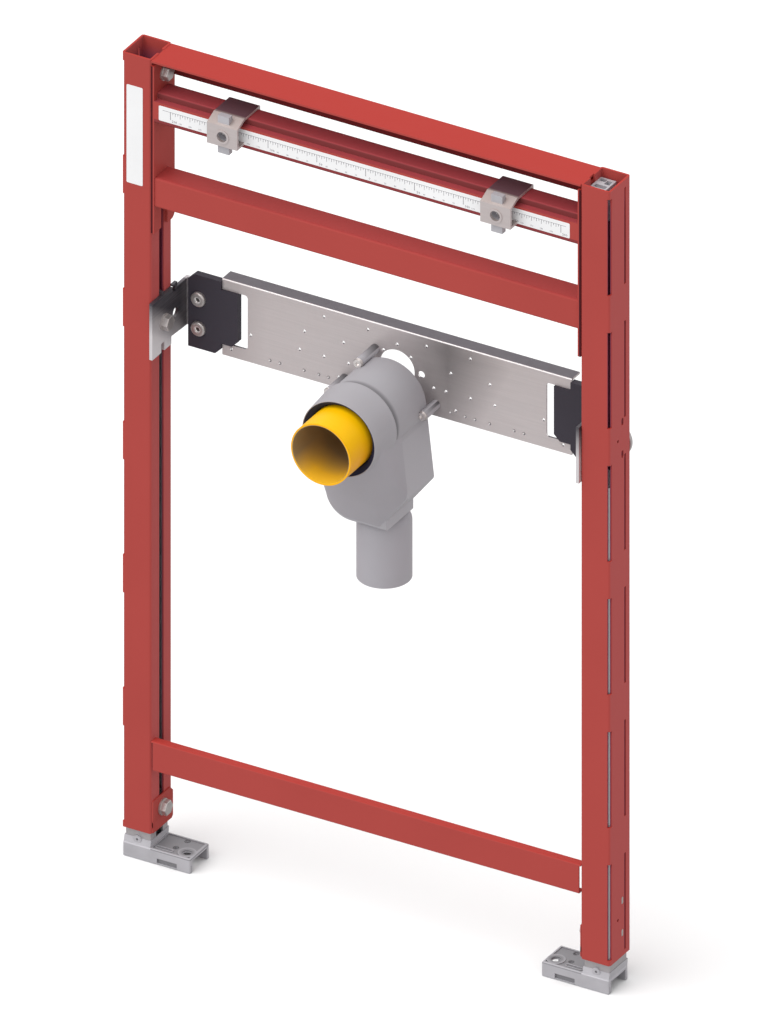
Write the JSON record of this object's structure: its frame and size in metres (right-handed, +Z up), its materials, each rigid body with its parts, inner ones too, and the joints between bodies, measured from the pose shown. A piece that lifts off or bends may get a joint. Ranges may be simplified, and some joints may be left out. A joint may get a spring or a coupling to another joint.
{
  "type": "basin installation frame",
  "caption": "Freestanding steel frame that carries a wall-hung basin inside a dry wall, with basin clamps, trap plate, trap and adjustable feet.",
  "frame": {"origin": "middle of the left foot's sole, on its cross rib", "axes": "+X to the right along the floor, +Y to the wall behind, +Z up"},
  "size_m": [0.5, 0.15, 0.8218],
  "materials": {
    "red_paint": "satin",
    "bolt_steel": "satin",
    "galvanised_steel": "satin",
    "zinc_casting": "matte",
    "black_plastic": "matte",
    "grey_plastic": "satin",
    "yellow_plastic": "gloss",
    "black_rubber": "matte"
  },
  "bodies": {
    "root": {"left_post": "red_paint", "right_post": "red_paint", "top_rail": "red_paint", "basin_rail": "red_paint", "cross_tube": "red_paint", "bottom_rail": "red_paint", "left_rail_bracket": "red_paint", "right_rail_bracket": "red_paint", "left_foot_clamp_plate": "red_paint", "right_foot_clamp_plate": "red_paint", "left_rail_bolt": "bolt_steel", "right_rail_bolt": "bolt_steel", "left_foot_bolt": "bolt_steel", "right_foot_bolt": "bolt_steel", "left_trap_bracket_bolt": "bolt_steel", "right_trap_bracket_bolt": "bolt_steel", "left_block_screws": "bolt_steel", "right_block_screws": "bolt_steel", "trap_screws": "bolt_steel", "left_basin_clamp": "galvanised_steel", "right_basin_clamp": "galvanised_steel", "left_foot_leg": "galvanised_steel", "right_foot_leg": "galvanised_steel", "left_trap_bracket": "galvanised_steel", "right_trap_bracket": "galvanised_steel", "trap_plate": "galvanised_steel", "left_stop_plate": "galvanised_steel", "right_stop_plate": "galvanised_steel", "left_nut_block": "zinc_casting", "right_nut_block": "zinc_casting", "left_clamp_nut": "zinc_casting", "right_clamp_nut": "zinc_casting", "left_foot_plate": "zinc_casting", "right_foot_plate": "zinc_casting", "left_sound_block": "black_plastic", "right_sound_block": "black_plastic", "trap_body": "grey_plastic", "outlet_pipe": "grey_plastic", "protection_plug": "yellow_plastic", "seal_ring": "black_rubber"}
  },
  "joints": []
}
